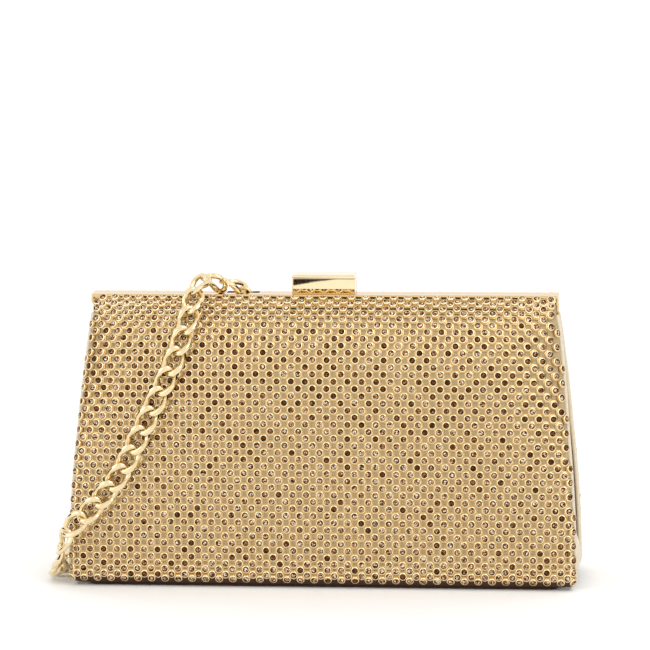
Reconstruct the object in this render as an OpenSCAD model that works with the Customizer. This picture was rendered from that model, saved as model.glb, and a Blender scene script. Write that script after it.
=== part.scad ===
// Crystal-mesh evening bag: a hard-framed clutch with a curb-chain strap.
// The front half, the base and the strap stand still; the back half swings back on a hinge rod
// along the base's rear edge, and a small lift lever on the back half closes over the front.
// Millimetres, +Z up, +X along the frame, the front faces -Y. Origin: middle of the base, on the floor.

/* [Body] */
// Width across the base
base_w = 200; // [180:1:220]
// Width along the frame at the top
top_w = 187; // [170:1:195]
// Height from the floor to the top of the frame
body_h = 115; // [105:1:125]
// Depth across the base, front to back
base_d = 53; // [46:1:60]
// Depth of the crystal skin under the frame, front to back
rim_d = 10; // [10:0.5:12]

/* [Layers] */
// Thickness of the crystal mesh with its stones
mesh_t = 1.4; // [1.2:0.1:1.4]
// Thickness of the shaped board behind the mesh
board_t = 1; // [0.8:0.1:1]
// Thickness of the lining
lining_t = 0.5; // [0.4:0.1:0.5]
// Thickness of the gusset leather
gusset_t = 0.8; // [0.6:0.1:0.8]

/* [Frame and clasp] */
// Thickness of the frame's top flange
flange_t = 1.1; // [1:0.1:1.2]
// Width of the clasp along the frame
clasp_w = 25.2; // [22:0.2:30]
// Height of the clasp blocks above the frame
clasp_h = 6.3; // [6:0.1:6.3]
// Thickness of the clasp's lever plate
lever_t = 1.4; // [1.2:0.1:1.6]

/* [Strap] */
// Width of the chain's links
chain_w = 8; // [7:0.5:8]

/* [Hidden] */

pale_gold = "#E6CFA0";
crystal_gold = "#C9A77C";
greige_fabric = "#B8A78C";
champagne_leather = "#D9C3A4";
lining_satin = "#CDB99A";
steel = "#A9A9A6";

edge_r = 6;            // rolled edge between the base and each face
corner_r = 5;          // rounding of the lower corners, seen from the front
roll_end = 62;         // how far the faces wrap under, in degrees
flat_side = 20;        // below this height the side edges are upright
flat_mid = 45;         // below this height the middle is upright
gap = 0.2;             // room for the glue between two layers
edge_in = 1.6;         // the layers stop this far inside the outline, behind the piping
rim_z = body_h - flange_t - 0.1;
row_power = 1.8;       // the rows of each layer draw together towards the rim
shoulder_z = body_h - 1;      // the middle's rounded shoulder closes just under the flange
mid_rim = rim_d / 2 - 1.8;
side_rim = rim_d / 2 - 0.2;
board_o = mesh_t + gap;
lining_o = board_o + board_t + gap;
inner_o = lining_o + lining_t;

hinge_y = base_d / 2 - edge_r;
hinge_z = edge_r;
rod_r = 1;
knuckle_r = 2.1;
knuckle_l = 12;
run_fit = 0.05;
rod_half = 91;

bar_gap = 0.3;         // each frame bar stands this far from the middle plane
bar_d = 5.5;           // front face of a frame bar from the middle plane
wall_t = 0.9;          // inner wall of a frame bar
wall_z = 106;
lug_x = -33;
lug_y = 1.9;
lug_z = 110.6;
ring_r = 3;
ring_wire = 0.8;
eye_r = 1.1;
block_top = body_h + clasp_h;
pin_y = 7.5;
pin_z = block_top - 0.4;
pin_r = 0.8;
pivot_r = 1.7;
anchor_x = 33;
anchor_z = 103;

// Outline, from the front: half width at a height
function half_w(z) =
    let (h = max(z, 0), k = max(0, 1 - h / corner_r))
    base_w / 2 - (base_w - top_w) / 2 * pow(h / body_h, 1.7) - corner_r * (1 - sqrt(1 - k * k));
// Half depth at a height, in the middle and along the side edge
function mid_d(z) = z <= flat_mid ? base_d / 2 : mid_rim + (base_d / 2 - mid_rim)
    * pow(max(0, 1 - pow((z - flat_mid) / (shoulder_z - flat_mid), 3.6)), 0.5);
function side_d(z) = z <= flat_side ? base_d / 2 : side_rim + (base_d / 2 - side_rim)
    * pow(max(0, 1 - pow((z - flat_side) / (body_h - flat_side), 1.7)), 1.25);
function depth(s, z) = mid_d(z) + (side_d(z) - mid_d(z)) * pow(abs(s), 6);
// A point of the back face: s runs -1 to 1 across, t runs -1 to 0 round the rolled edge and 0 to 1 up
function face_z(t) = t < 0 ? edge_r - edge_r * sin(-t * roll_end)
    : edge_r + (rim_z - edge_r) * (1 - pow(1 - t, row_power));
function face(s, t) =
    let (z = face_z(t))
    [s * (half_w(z) - edge_in), t < 0 ? hinge_y + edge_r * cos(-t * roll_end) : depth(s, z), z];
function unit(v) = v / norm(v);
function face_n(s, t) = let (e = 0.002)
    unit(cross(face(s, min(1, t + e)) - face(s, max(-1, t - e)), face(s + e, t) - face(s - e, t)));
function layer(s, t, o) = face(s, t) - face_n(s, t) * o;

// Triangles of a closed sheet: a grid of outer points, then the same grid of inner points
function quad(a, b, c, d) = [[a, b, c], [a, c, d]];
function sheet_faces(ni, nj) =
    let (w = nj + 1, m = (ni + 1) * w)
    [for (i = [0:ni - 1], j = [0:nj - 1], f = concat(
            quad(i * w + j, (i + 1) * w + j, (i + 1) * w + j + 1, i * w + j + 1),
            quad(m + i * w + j, m + i * w + j + 1, m + (i + 1) * w + j + 1, m + (i + 1) * w + j))) f,
        for (i = [0:ni - 1], f = concat(
            quad((i + 1) * w, i * w, m + i * w, m + (i + 1) * w),
            quad(i * w + nj, (i + 1) * w + nj, m + (i + 1) * w + nj, m + i * w + nj))) f,
        for (j = [0:nj - 1], f = concat(
            quad(j, j + 1, m + j + 1, m + j),
            quad(ni * w + j + 1, ni * w + j, m + ni * w + j, m + ni * w + j + 1))) f];

// A layer of the whole back face, between two depths under its surface; its first rows are the roll,
// and its columns draw together towards the side edges
roll_rows = 3;
face_rows = 12;
face_t = concat([for (j = [0:roll_rows - 1]) j / roll_rows - 1], [for (j = [0:face_rows]) j / face_rows]);
module face_layer(o1, o2, ts = face_t, s1 = 1, ni = 16) {
    polyhedron(points = [for (o = [o1, o2], i = [0:ni], t = ts) layer(s1 * sin(90 * (2 * i / ni - 1)), t, o)],
        faces = sheet_faces(ni, len(ts) - 1));
}

// A round tube swept along a route, with flat ends; across is never parallel to the route
module tube(route, r, across, sides = 8) {
    n = len(route);
    ring_pts = [for (i = [0:n - 1])
        let (d = unit(route[min(n - 1, i + 1)] - route[max(0, i - 1)]),
            a = unit(cross(d, across)), b = cross(d, a))
        for (k = [0:sides - 1]) route[i] + r * (a * cos(360 * k / sides) + b * sin(360 * k / sides))];
    polyhedron(points = ring_pts, faces = concat(
        [[for (k = [0:sides - 1]) k]],
        [for (i = [0:n - 2], k = [0:sides - 1], f = quad(i * sides + k, (i + 1) * sides + k,
            (i + 1) * sides + (k + 1) % sides, i * sides + (k + 1) % sides)) f],
        [[for (k = [sides - 1:-1:0]) (n - 1) * sides + k]]));
}

// Piping that covers the side edges of the back face
module piping_pair() {
    for (side = [-1, 1])
        tube([for (t = face_t) if (t < 0.87)
            let (p = layer(side, t, inner_o / 2))
            [side * (half_w(face_z(t)) - 0.35), p[1], p[2]]], 0.95, [1, 0, 0]);
}

// Gusset: a folded side sheet, v from front (-1) to back (1); it puffs out low and tucks in high
function tuck(z) = 12 * z / 104 - 5 * exp(-pow((z - 12) / 12, 2));
function side_sheet(v, z) = [half_w(z) - 2.2 - tuck(z) * (1 - v * v), v * (side_d(z) - 5.4), z];
function side_n(v, z) = let (e = 0.01)
    unit(cross(side_sheet(v, z + e) - side_sheet(v, z - e), side_sheet(v + e, z) - side_sheet(v - e, z)));
module side_layer(o1, o2) {
    ni = 8;
    nj = 12;
    top = 104;
    polyhedron(points = [for (o = [o1, o2], i = [0:ni], j = [0:nj])
            let (v = 2 * i / ni - 1, z = 5.2 + (top - 5.2) * j / nj)
            side_sheet(v, z) + side_n(v, z) * o],
        faces = sheet_faces(ni, nj));
}

// A frame bar of the back half: a top flange with a round outer edge, and a wall down the inside
module frame_bar() {
    round_r = flange_t / 2;
    bar_l = top_w;
    translate([-bar_l / 2, bar_gap, body_h - flange_t])
        cube([bar_l, bar_d - round_r - bar_gap, flange_t]);
    translate([-bar_l / 2, bar_d - round_r, body_h - round_r])
        rotate([0, 90, 0]) cylinder(r = round_r, h = bar_l, $fn = 48);
    translate([-bar_l / 2, bar_gap, wall_z])
        cube([bar_l, wall_t, body_h - flange_t / 2 - wall_z]);
    for (side = [-1, 1]) translate([side * (bar_l / 2 - 0.45) - 0.45, bar_gap, 111.4])
        cube([0.9, bar_d - bar_gap - 0.3, body_h - 111.4 - flange_t / 2]);
}

module clasp_screw_holes(y) {
    for (x = [-7, 7]) translate([x, y, wall_z]) cylinder(r = 1, h = 20, $fn = 48);
}

module clasp_screws(y) {
    for (x = [-7, 7]) translate([x, y, 0]) {
        translate([0, 0, body_h - flange_t - 1]) cylinder(r = 1.5, h = 1, $fn = 48);
        translate([0, 0, body_h - flange_t - 0.5]) cylinder(r = 0.88, h = 4.6, $fn = 48);
    }
}

// Half of the clasp's body: a block with small chamfers on its upright edges
module clasp_body() {
    c = 0.5;
    y0 = 0.35;
    y1 = bar_d - 0.1;
    h = clasp_w / 2;
    difference() {
        translate([0, 0, body_h]) linear_extrude(clasp_h)
            polygon([[-h, y0], [h, y0], [h, y1 - c], [h - c, y1], [c - h, y1], [-h, y1 - c]]);
        for (x = [-7, 7]) translate([x, 2.9, body_h - 1]) cylinder(r = 0.92, h = 4.8, $fn = 48);
    }
}

// Straight row of hinge knuckles on the rod's axis
module knuckles(centres) {
    for (x = centres) translate([x - knuckle_l / 2, hinge_y, hinge_z])
        rotate([0, 90, 0]) cylinder(r = knuckle_r, h = knuckle_l, $fn = 64);
}
module rod_bore() {
    translate([-100, hinge_y, hinge_z]) rotate([0, 90, 0])
        cylinder(r = rod_r + run_fit, h = 200, $fn = 64);
}
base_knuckles = [-84, -28, 28, 84];
back_knuckles = [-56, 0, 56];
rivet_x = [-70, -14, 14, 70];
leaf_t = 0.9;

module jump_ring() {
    rotate([90, 0, 0]) rotate_extrude($fn = 64) translate([ring_r, 0]) circle(r = ring_wire, $fn = 32);
}

// ---- front half, base and sides ----
module front_frame() color(pale_gold) difference() {
    mirror([0, 1, 0]) frame_bar();
    clasp_screw_holes(-2.9);
}
module front_crystal_mesh() color(crystal_gold) mirror([0, 1, 0]) face_layer(0, mesh_t);
module front_panel() color(greige_fabric)
    mirror([0, 1, 0]) face_layer(board_o, board_o + board_t);
module front_lining() color(lining_satin) mirror([0, 1, 0]) face_layer(lining_o, inner_o);
module front_piping() color(champagne_leather) mirror([0, 1, 0]) piping_pair();
module slip_pocket() color(lining_satin)
    mirror([0, 1, 0]) face_layer(inner_o + 0.4, inner_o + 0.9, [for (j = [1:6]) j / face_rows], 0.6, 10);
module base_cover() color(champagne_leather)
    translate([-94, -22.5, 0]) cube([188, 22.5 + hinge_y - 0.3, 0.9]);
module base_board() color(greige_fabric) difference() {
    translate([-92, -20.5, 1]) cube([184, 20.5 + hinge_y - 1, 2]);
    rivet_holes();
}
module base_lining() color(lining_satin) difference() {
    translate([-92, -20.5, 3.1]) cube([184, 20.5 + hinge_y - 2.4, 0.6]);
    rivet_holes();
}
module rivet_holes() {
    for (x = rivet_x) translate([x, 12.5, 0.95]) cylinder(r = 1.25, h = 8, $fn = 48);
}
module gusset_left() color(champagne_leather) mirror([1, 0, 0]) side_layer(0, -gusset_t);
module gusset_right() color(champagne_leather) side_layer(0, -gusset_t);
module gusset_lining_left() color(lining_satin) mirror([1, 0, 0])
    side_layer(-gusset_t - gap, -gusset_t - gap - 0.4);
module gusset_lining_right() color(lining_satin)
    side_layer(-gusset_t - gap, -gusset_t - gap - 0.4);

// ---- base hinge ----
module base_hinge_leaf() color(steel) difference() {
    union() {
        translate([-rod_half, 8, 3.9]) cube([2 * rod_half, 9.4, leaf_t]);
        for (x = base_knuckles) translate([x - knuckle_l / 2, 17, 3.9])
            cube([knuckle_l, hinge_y - 17, leaf_t]);
        knuckles(base_knuckles);
    }
    rod_bore();
    rivet_holes();
}
module hinge_rod() color(steel) translate([-rod_half, hinge_y, hinge_z]) rotate([0, 90, 0])
    cylinder(r = rod_r, h = 2 * rod_half, $fn = 64);
module base_leaf_rivets() color(steel) for (x = rivet_x) translate([x, 12.5, 0]) {
    translate([0, 0, 1.2]) cylinder(r = 1.2, h = 4, $fn = 48);
    translate([0, 0, 3.9 + leaf_t]) cylinder(r = 2.1, h = 0.7, $fn = 48);
}
module back_hinge_leaf() color(steel) difference() {
    union() {
        translate([-rod_half, 21.7, 8.4]) cube([2 * rod_half, leaf_t, 8]);
        for (x = back_knuckles) translate([x - knuckle_l / 2, 21.7, hinge_z])
            cube([knuckle_l, leaf_t, 3]);
        knuckles(back_knuckles);
    }
    rod_bore();
    for (x = rivet_x) translate([x, 20, 13]) rotate([-90, 0, 0]) cylinder(r = 1.25, h = 4, $fn = 48);
}
module back_leaf_rivets() color(steel) for (x = rivet_x) translate([x, 0, 13]) rotate([-90, 0, 0]) {
    translate([0, 0, 21]) cylinder(r = 2.1, h = 0.7, $fn = 48);
    translate([0, 0, 21.5]) cylinder(r = 1.2, h = 3, $fn = 48);
}

// ---- clasp ----
module front_clasp_block() color(pale_gold) difference() {
    mirror([0, 1, 0]) clasp_body();
    // shallow ramped groove that the lever's bead drops into
    translate([-6.6, 0, 0]) rotate([90, 0, 90]) linear_extrude(13.2)
        polygon([[-4.9, block_top + 1], [-4.9, block_top - 0.5], [-3.5, block_top - 0.5],
            [-0.6, block_top + 0.2], [-0.6, block_top + 1]]);
}
module front_clasp_screws() color(steel) clasp_screws(-2.9);
module back_clasp_block() color(pale_gold) difference() {
    union() {
        clasp_body();
        for (side = [-1, 1]) {
            translate([side * 8.6 - 2, bar_d - 0.6, pin_z - pivot_r])
                cube([4, pin_y - bar_d + 0.6, pivot_r + 0.4]);
            translate([side * 8.6 - 2, pin_y, pin_z]) rotate([0, 90, 0])
                cylinder(r = pivot_r, h = 4, $fn = 64);
        }
    }
    translate([-20, pin_y, pin_z]) rotate([0, 90, 0]) cylinder(r = pin_r + 0.01, h = 40, $fn = 64);
}
module back_clasp_screws() color(steel) clasp_screws(2.9);
module clasp_pin() color(steel) translate([-10.8, pin_y, pin_z]) rotate([0, 90, 0])
    cylinder(r = pin_r, h = 21.6, $fn = 64);
module clasp_spring() color(steel) {
    for (i = [0:3]) translate([4.2 + i * 0.62, pin_y, pin_z]) rotate([0, 90, 0])
        rotate_extrude($fn = 48) translate([1.25, 0]) circle(r = 0.32, $fn = 24);
}
module clasp_lever() color(pale_gold) {
    h = clasp_w / 2;
    z0 = block_top + 0.25;
    c = 0.7;
    difference() {
        union() {
            intersection() {
                // section across the frame: a bevelled front edge
                translate([-h, 0, 0]) rotate([90, 0, 90]) linear_extrude(clasp_w)
                    polygon([[-5.6, z0], [5, z0], [5, z0 + lever_t], [-5, z0 + lever_t],
                        [-5.6, z0 + lever_t - 0.6]]);
                // section along the frame: chamfered ends
                translate([0, 10, 0]) rotate([90, 0, 0]) linear_extrude(20)
                    polygon([[-h, z0], [h, z0], [h, z0 + lever_t - c], [h - c, z0 + lever_t],
                        [c - h, z0 + lever_t], [-h, z0 + lever_t - c]]);
            }
            translate([-3.5, 4, z0]) cube([7, pin_y - 4, lever_t - 0.35]);
            translate([-3.5, pin_y, pin_z]) rotate([0, 90, 0]) cylinder(r = pivot_r, h = 7, $fn = 64);
            // bead under the front edge
            translate([-6, -4.2, z0]) rotate([0, 90, 0]) cylinder(r = 0.4, h = 12, $fn = 32);
        }
        translate([-10, pin_y, pin_z]) rotate([0, 90, 0])
            cylinder(r = pin_r + run_fit, h = 20, $fn = 64);
    }
}

// ---- strap ----
front_run = [[-36.5, 1.5, 119.3], [-41, -1, 120.4], [-46, -5, 120.8], [-50.2, -9.5, 119.6],
    [-52.2, -14, 116.5], [-53.5, -18, 112], [-55.3, -21.8, 106], [-57.5, -25.1, 99],
    [-60.5, -27.3, 91], [-64, -28.6, 82], [-67, -29.4, 74.5], [-70, -30, 67],
    [-73, -30.5, 60], [-76.5, -30.7, 53], [-80, -30.8, 45.5], [-84.5, -30.9, 37.5],
    [-89.5, -31, 30.5], [-95, -31.3, 24], [-100.5, -31, 17.5], [-105, -28.5, 11],
    [-107, -22, 6], [-107, -12, 4.2], [-106.5, 0, 4.2], [-106.5, 11, 4.2], [-106, 22, 4.2],
    [-101, 33, 4.2], [-91, 41, 4.2], [-79, 45.3, 4.2], [-67.5, 46, 4.2]];
rear_run = [[33, 33.5, 16], [33, 33.5, 28], [33, 33, 42], [33, 32.4, 56], [33, 31.4, 68],
    [33, 30.3, 78], [33, 29.2, 86], [33, 27.8, 93]];
coil_y = 71.5;
coil_half = 45;
coil_r = 29.5;

module front_strap_lug() color(pale_gold) difference() {
    union() {
        translate([lug_x - 0.6, -bar_gap, lug_z - 1.9]) cube([1.2, lug_y + bar_gap, 3.8]);
        translate([lug_x - 0.6, lug_y, lug_z]) rotate([0, 90, 0]) cylinder(r = 1.9, h = 1.2, $fn = 64);
    }
    translate([lug_x - 2, lug_y, lug_z]) rotate([0, 90, 0]) cylinder(r = eye_r, h = 4, $fn = 64);
}
module front_jump_ring() color(pale_gold) translate([lug_x, lug_y, lug_z + ring_r]) jump_ring();
module back_frame() color(pale_gold) difference() {
    frame_bar();
    clasp_screw_holes(2.9);
    translate([lug_x - 6.5, 0, wall_z - 1]) cube([13, 4.7, 20]);
}
// Frame of reference at the strap's anchor on the back face: z outward, x along the bag
anchor_t = 1 - pow(1 - (anchor_z - edge_r) / (rim_z - edge_r), 1 / row_power);
anchor_s = anchor_x / (half_w(anchor_z) - edge_in);
anchor_p = face(anchor_s, anchor_t);
anchor_tilt = atan2(face_n(anchor_s, anchor_t)[2], face_n(anchor_s, anchor_t)[1]);
module at_anchor() {
    translate(anchor_p) rotate([anchor_tilt - 90, 0, 0]) children();
}
module back_strap_anchor() color(pale_gold) at_anchor() difference() {
    union() {
        translate([0, 0, 0.25]) cylinder(r = 3.4, h = 0.9, $fn = 64);
        translate([-0.6, -1.9, 0.6]) cube([1.2, 3.8, 2.9]);
        translate([-0.6, 0, 3.5]) rotate([0, 90, 0]) cylinder(r = 1.9, h = 1.2, $fn = 64);
    }
    translate([-3, 0, 3.5]) rotate([0, 90, 0]) cylinder(r = eye_r, h = 6, $fn = 64);
}
module back_jump_ring() color(pale_gold) at_anchor()
    translate([0, 0, 3.5]) rotate([25, 0, 0]) translate([0, -ring_r, 0]) rotate([90, 0, 0]) jump_ring();
module strap_front_run() color(pale_gold) tube(front_run, chain_w / 2, [0, 0.3, 1]);
module oval(r) {
    square([2 * coil_half, 2 * r], center = true);
    for (side = [-1, 1]) translate([side * coil_half, 0]) circle(r = r, $fn = 96);
}
module strap_coil() color(pale_gold) translate([0, coil_y, 0]) linear_extrude(chain_w + 0.4)
    difference() {
        oval(coil_r);
        oval(coil_r - 2 * chain_w);
    }
module strap_rear_run() color(pale_gold) tube(rear_run, chain_w / 2, [1, 0, 0]);

// ---- back half ----
module back_crystal_mesh() color(crystal_gold) face_layer(0, mesh_t);
module back_panel() color(greige_fabric) face_layer(board_o, board_o + board_t);
module back_lining() color(lining_satin) face_layer(lining_o, inner_o);
module back_piping() color(champagne_leather) piping_pair();

front_frame();
front_crystal_mesh();
front_panel();
front_lining();
front_piping();
slip_pocket();
base_cover();
base_board();
base_lining();
gusset_left();
gusset_right();
gusset_lining_left();
gusset_lining_right();
base_hinge_leaf();
hinge_rod();
base_leaf_rivets();
front_clasp_block();
front_clasp_screws();
front_strap_lug();
front_jump_ring();
back_frame();
back_crystal_mesh();
back_panel();
back_lining();
back_piping();
back_hinge_leaf();
back_leaf_rivets();
back_clasp_block();
back_clasp_screws();
clasp_pin();
clasp_spring();
back_strap_anchor();
back_jump_ring();
clasp_lever();
strap_front_run();
strap_coil();
strap_rear_run();
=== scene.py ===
"""Looks of a crystal-mesh evening bag with a curb-chain strap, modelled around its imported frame.

Everything is in metres, +Z up, +X along the bag's frame, and the front faces -Y. Shapes are worked
out in millimetres and turned to metres when a mesh is made.
"""

import math

import bmesh
import bpy
import numpy as np
from bpy.props import FloatProperty, FloatVectorProperty, PointerProperty
from mathutils import Matrix, Vector


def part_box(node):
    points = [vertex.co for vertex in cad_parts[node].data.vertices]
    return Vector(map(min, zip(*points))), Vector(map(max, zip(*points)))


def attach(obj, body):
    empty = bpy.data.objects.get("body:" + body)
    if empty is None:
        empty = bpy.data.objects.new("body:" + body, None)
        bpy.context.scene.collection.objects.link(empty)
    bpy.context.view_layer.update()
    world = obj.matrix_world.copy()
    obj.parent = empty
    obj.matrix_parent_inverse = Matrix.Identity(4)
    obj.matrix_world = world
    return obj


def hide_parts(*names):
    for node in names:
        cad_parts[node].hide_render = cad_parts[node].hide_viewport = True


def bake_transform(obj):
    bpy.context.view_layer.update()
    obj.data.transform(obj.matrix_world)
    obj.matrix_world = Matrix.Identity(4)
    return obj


bl_info = {
    "name": "Crystal Mesh Evening Bag",
    "version": (1, 0, 0),
    "blender": (4, 5, 0),
    "location": "View3D > Sidebar > Evening Bag",
    "description": "Models a framed evening bag in crystal mesh, with its clasp, linings and chain",
    "category": "Object",
}

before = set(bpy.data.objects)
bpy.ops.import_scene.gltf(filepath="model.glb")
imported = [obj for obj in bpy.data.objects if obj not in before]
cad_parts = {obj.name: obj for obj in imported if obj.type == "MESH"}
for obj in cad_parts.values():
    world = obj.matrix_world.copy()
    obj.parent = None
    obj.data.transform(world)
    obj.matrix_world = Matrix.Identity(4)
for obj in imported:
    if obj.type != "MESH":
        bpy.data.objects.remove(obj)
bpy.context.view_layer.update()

MM = 0.001

# ---------------------------------------------------------------- the bag's form, in millimetres
BODY_H = 115.0
BASE_HALF = 100.0
TOP_HALF = 93.5
HALF_DEPTH = 26.5
EDGE_R = 6.0  # rolled edge between the base and each face
CORNER_R = 5.0  # rounding of the lower corners
ROLL_END = math.radians(62)  # how far round the base's edge the layers reach
TAPER_POWER = 1.7
FLAT_SIDE = 20.0  # up to this height the side edges keep their full depth
FLAT_MID = 45.0  # and up to this one the middle does
MID_RIM = 3.2  # half the depth at the rim, in the middle
SIDE_RIM = 4.8  # and at the side edges
SHOULDER_Z = 114.0  # the rounded shoulder closes just under the frame
EDGE_POWER = 6  # how near its side edges a face starts to fall back
EDGE_IN = 0.2  # the layers wrap round the side edges this far inside the outline
EDGE_IN_RIM = 0.7  # and end flat, this far inside it, behind the frame's closed ends
RIM_BLEND_Z, RIM_BLEND_H = 101.0, 10.0  # where the wrap starts to flatten, and over what height
EDGE_SWELL = 1.0  # halfway up, the padded edges swell by this much
SWELL_TOP = 108.0
EDGE_FLARE = 1.9  # at the base they flare out by this much, and die away to nothing at FLARE_TOP
FLARE_TOP = 62.0
SIDE_R = 4.0  # radius of the wrapped side edges
SIDE_WRAP = math.radians(66)
RIM_Z = 113.8  # the layers' upper edges, behind the frame
ROW_POWER = 1.8
CLOTH_TOP, CLOTH_LOW = 1.3, 1.5  # depths of the ground cloth under the stones
SHADE_BAND_TOP, SHADE_BAND_LOW = 0.35, 1.2  # and of the dark band round the base's edge, painted shade under the bag
BOARD_TOP, BOARD_LOW = 1.6, 2.6
LINING_TOP, LINING_LOW = 2.8, 3.3
ROLL_Y = 20.5  # the base's edge rolls round this line
HALVES = ((-1, "front"), (1, "back"))


def half_width(z):
    """Half the bag's width at a height."""
    z = np.maximum(z, 0.0)
    k = np.maximum(0.0, 1 - z / CORNER_R)
    taper = (BASE_HALF - TOP_HALF) * (z / BODY_H) ** TAPER_POWER
    return BASE_HALF - taper - CORNER_R * (1 - np.sqrt(np.maximum(0.0, 1 - k * k)))


def falloff(z, flat, top, rim, power, shape):
    """Half a depth that is full up to a height and closes in a curve to the rim."""
    share = np.clip((z - flat) / (top - flat), 0, 1)
    return rim + (HALF_DEPTH - rim) * (1 - share**power) ** shape


def side_depth(z):
    """Half the bag's depth at a height, along the side edges."""
    return falloff(z, FLAT_SIDE, BODY_H, SIDE_RIM, 1.7, 1.25)


def middle_depth(z):
    """Half the bag's depth at a height, in the middle."""
    return falloff(z, FLAT_MID, SHOULDER_Z, MID_RIM, 3.6, 0.5)


def flare(z):
    """How far the side edges stand out at a height, low down."""
    return EDGE_FLARE * np.clip(1 - z / FLARE_TOP, 0, 1)


def side_edge(z):
    """At a height: the angle through which the side edge wraps, and where the wrap starts."""
    near_rim = np.clip((z - RIM_BLEND_Z) / RIM_BLEND_H, 0, 1)
    wrap = SIDE_WRAP * (1 - near_rim)
    edge = half_width(z) - EDGE_IN - (EDGE_IN_RIM - EDGE_IN) * near_rim
    edge = edge + EDGE_SWELL * np.sin(np.clip(z / SWELL_TOP, 0, 1) * math.pi)
    edge = edge + flare(z)
    return wrap, edge - SIDE_R * np.sin(wrap)


def row_z(t):
    """Height of a row: t runs -1 to 0 round the rolled lower edge and 0 to 1 up the face."""
    low = EDGE_R - EDGE_R * np.sin(np.clip(-t, 0, 1) * ROLL_END)
    high = EDGE_R + (RIM_Z - EDGE_R) * (1 - (1 - np.clip(t, 0, 1)) ** ROW_POWER)
    return np.where(t < 0, low, high)


def face_points(s, t):
    """Points of the back face, in millimetres: s runs -1 to 1 across."""
    s, t = np.broadcast_arrays(np.asarray(s, float), np.asarray(t, float))
    z = row_z(t)
    wrap, flat = side_edge(z)
    along = np.abs(s) * (flat + SIDE_R * wrap)
    turn = np.clip((along - flat) / SIDE_R, 0, wrap)
    x = np.minimum(along, flat) + SIDE_R * np.sin(turn)
    middle = middle_depth(z)
    depth = middle + (side_depth(z) - middle) * (x / (flat + SIDE_R * np.sin(wrap))) ** EDGE_POWER
    roll = ROLL_Y + EDGE_R * np.cos(np.clip(-t, 0, 1) * ROLL_END)
    y = np.where(t < 0, roll, depth) - SIDE_R * (1 - np.cos(turn))
    return np.stack([np.sign(s) * x, y, z], -1)


def unit(v):
    """The same directions, one long."""
    return v / np.maximum(np.linalg.norm(v, axis=-1, keepdims=True), 1e-12)


def square_to(v, axis):
    """Directions turned at right angles to an axis, one long."""
    return unit(v - axis * np.sum(v * axis, -1, keepdims=True))


def face_normals(s, t):
    """Outward directions of the back face."""
    e = 0.004
    up = face_points(s, np.minimum(1, t + e)) - face_points(s, np.maximum(-1, t - e))
    across = face_points(np.minimum(1, s + e), t) - face_points(np.maximum(-1, s - e), t)
    return unit(np.cross(up, across))


def under_face(s, t, depth):
    """Points a depth under the back face, along its normal."""
    s, t = np.broadcast_arrays(np.asarray(s, float), np.asarray(t, float))
    return face_points(s, t) - face_normals(s, t) * np.asarray(depth)[..., None]


def on_half(points, half):
    """The same points on the back (+1) or the front (-1) half of the bag."""
    return points * np.array([1.0, half, 1.0])


def t_at_height(z):
    """The row at a height up the face."""
    return 1 - (1 - (z - EDGE_R) / (RIM_Z - EDGE_R)) ** (1 / ROW_POWER)


# ---------------------------------------------------------------- sizes and colours a user may change
def linear(code):
    """An sRGB hex colour as linear red, green, blue and alpha."""
    parts = [int(code[i : i + 2], 16) / 255 for i in (1, 3, 5)]
    return tuple(c / 12.92 if c <= 0.04045 else ((c + 0.055) / 1.055) ** 2.4 for c in parts) + (1.0,)


def size_property(name, description, default, low, high):
    """A length in metres, with its limits."""
    return FloatProperty(
        name=name, description=description, default=default, min=low, max=high, unit="LENGTH"
    )


class BagSizes(bpy.types.PropertyGroup):
    """Sizes of the pieces that repeat over the bag"""

    stone_pitch: size_property(
        "Stone pitch", "Distance between neighbouring stones, on the diagonal", 0.004, 0.0036, 0.0045
    )
    stone_width: size_property("Stone width", "Width of a stone inside its cup", 0.0023, 0.0018, 0.0026)
    link_pitch: size_property("Link pitch", "Distance from one link to the next", 0.0086, 0.0078, 0.009)
    link_wire: size_property("Link wire", "Thickness of the links' bent wire", 0.0023, 0.0018, 0.0025)


def colour_property(name, description, code):
    """A colour whose default is an sRGB hex code."""
    return FloatVectorProperty(
        name=name,
        description=description,
        default=linear(code)[:3],
        size=3,
        min=0,
        max=1,
        subtype="COLOR",
    )


class BagColours(bpy.types.PropertyGroup):
    """Main colours of the bag's finishes"""

    plated_gold: colour_property("Plated gold", "Frame bars, lug, anchor and rings", "#E3C491")
    mesh_gold: colour_property("Mesh gold", "Linked plates between the stones", "#D8B47A")
    cup_gold: colour_property("Cup gold", "Bright cups that hold the stones", "#FBE7BC")
    ground_cloth: colour_property("Ground cloth", "Woven cloth under the mesh", "#D2B98C")
    leather: colour_property("Leather", "Gussets and piping", "#F4E7CE")
    satin: colour_property("Satin", "Linings and the slip pocket", "#C9B48F")
    nickel: colour_property("Nickel", "Hinge, rivets and screws", "#B9B7B0")


def sizes():
    """The sizes that a user may change, in metres."""
    return bpy.context.scene.bag_sizes


def colour(name):
    """One of the colours that a user may change."""
    return tuple(getattr(bpy.context.scene.bag_colours, name)) + (1.0,)


# ---------------------------------------------------------------- materials
def fill(tree, node, sockets):
    """Gives each named input of a node a value or another node's output."""
    for name, value in dict(sockets).items():
        if isinstance(value, bpy.types.NodeSocket):
            tree.links.new(value, node.inputs[name])
        else:
            node.inputs[name].default_value = value


def add_node(tree, kind, settings=(), sockets=(), stops=()):
    """Adds a node with its settings, its inputs and, on a colour ramp, its (place, colour) stops."""
    node = tree.nodes.new(kind)
    for name, value in dict(settings).items():
        setattr(node, name, value)
    fill(tree, node, sockets)
    if stops:
        points = node.color_ramp.elements
        while len(points) < len(stops):
            points.new(0.5)
        for point, (place, code) in zip(points, stops):
            point.position = place
            point.color = linear(code)
    return node


def new_material(name):
    """A material and its node tree."""
    material = bpy.data.materials.new(name)
    material.use_nodes = True
    return material, material.node_tree


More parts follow.
